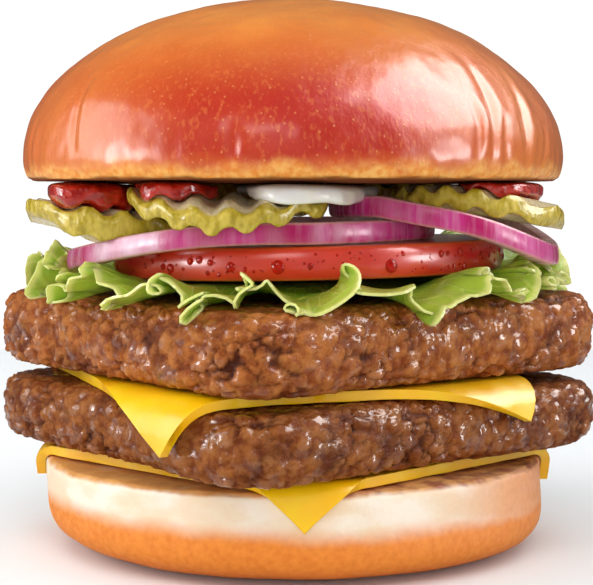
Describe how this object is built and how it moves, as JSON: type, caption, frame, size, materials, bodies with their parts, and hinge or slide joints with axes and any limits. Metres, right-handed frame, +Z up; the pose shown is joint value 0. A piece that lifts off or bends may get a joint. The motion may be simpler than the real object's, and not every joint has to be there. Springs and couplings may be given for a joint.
{
  "type": "hamburger",
  "caption": "Double cheeseburger with square patties, cheese slices, leaf lettuce, tomato, red onion rings, pickle slices and sauces in a round split bun.",
  "frame": {"origin": "middle of the lower bun's flat underside, where the burger rests", "axes": "+Z up through the stack, -Y the side that shows best"},
  "size_m": [0.1142, 0.1142, 0.1041],
  "materials": {
    "bread_crust": "shiny baked crust",
    "bread_side": "soft matte bread",
    "cheese": "soft gloss",
    "beef": "moist, coarse",
    "lettuce": "fresh leaf, soft gloss",
    "tomato": "wet skin, gloss",
    "onion": "moist, soft gloss",
    "pickle": "wet, soft gloss",
    "ketchup": "wet gloss",
    "mayonnaise": "creamy gloss"
  },
  "bodies": {
    "root": {"heel": "bread_side", "lower_cheese": "cheese", "lower_patty": "beef", "upper_cheese": "cheese", "upper_patty": "beef", "lettuce": "lettuce", "tomato": "tomato", "onion_low": "onion", "onion_high": "onion", "pickle_left": "pickle", "pickle_front": "pickle", "pickle_right": "pickle", "pickle_back_left": "pickle", "pickle_back_right": "pickle", "ketchup_left": "ketchup", "ketchup_middle": "ketchup", "ketchup_right": "ketchup", "mayonnaise": "mayonnaise", "crown": "bread_crust"}
  },
  "joints": []
}
